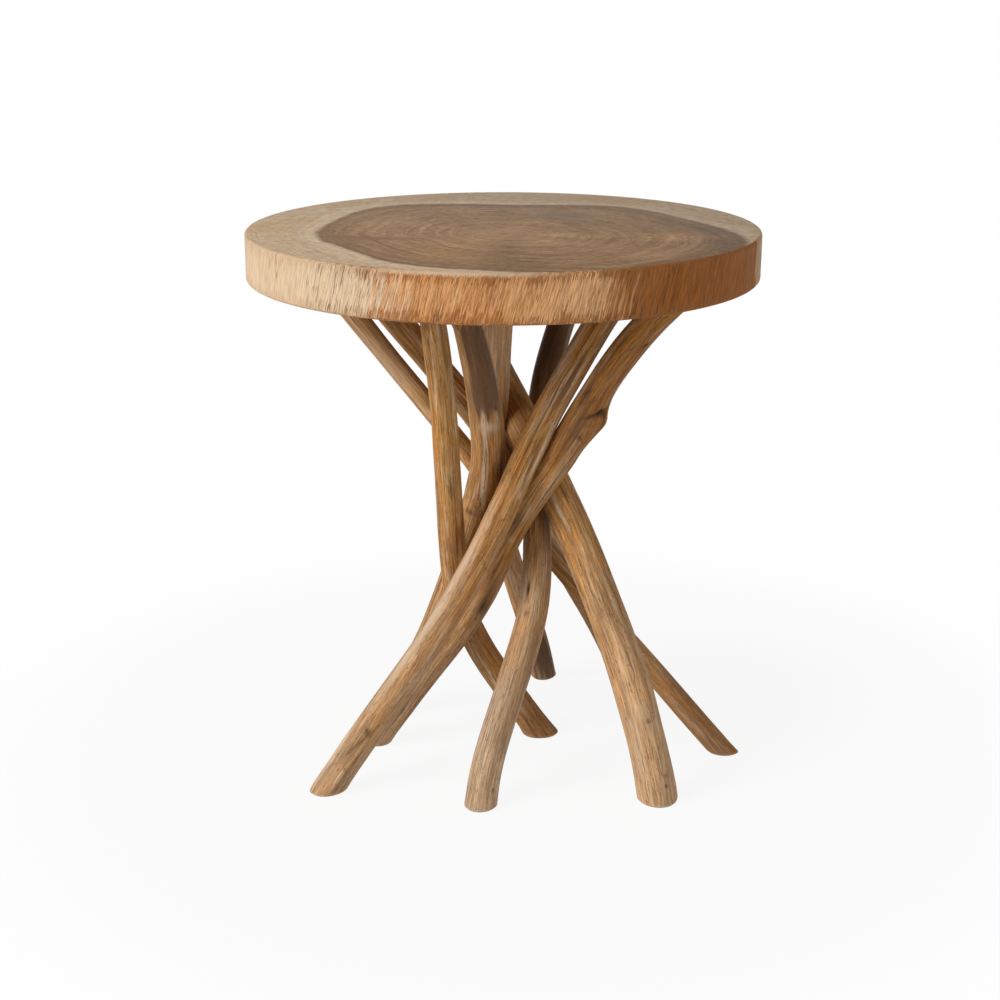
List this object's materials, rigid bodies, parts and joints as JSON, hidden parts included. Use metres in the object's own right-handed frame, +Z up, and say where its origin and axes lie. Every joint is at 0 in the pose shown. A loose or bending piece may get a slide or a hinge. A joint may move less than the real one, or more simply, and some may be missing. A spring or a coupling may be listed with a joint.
{
  "type": "teak accent table",
  "caption": "Rustic round side table: a thick cross-cut teak slab on a twisted bundle of natural teak branches, coped and screwed where they cross.",
  "frame": {"origin": "on the floor, under the middle of the round slab", "axes": "+Z up, -Y towards the viewer of the front, +X to that viewer's right"},
  "size_m": [0.508, 0.508, 0.5588],
  "materials": {
    "slab_wood": "satin",
    "branch_wood": "satin",
    "plug_wood": "satin",
    "screw_steel": "zinc plated"
  },
  "bodies": {
    "root": {"top_slab": "slab_wood", "front_left_branch": "branch_wood", "knotted_branch": "branch_wood", "front_branch": "branch_wood", "front_right_branch": "branch_wood", "far_right_branch": "branch_wood", "right_back_branch": "branch_wood", "upright_branch": "branch_wood", "left_back_branch": "branch_wood", "back_branch": "branch_wood", "head_screws": "screw_steel", "crossing_screws": "screw_steel", "head_plugs": "plug_wood", "crossing_plugs": "plug_wood"}
  },
  "joints": []
}
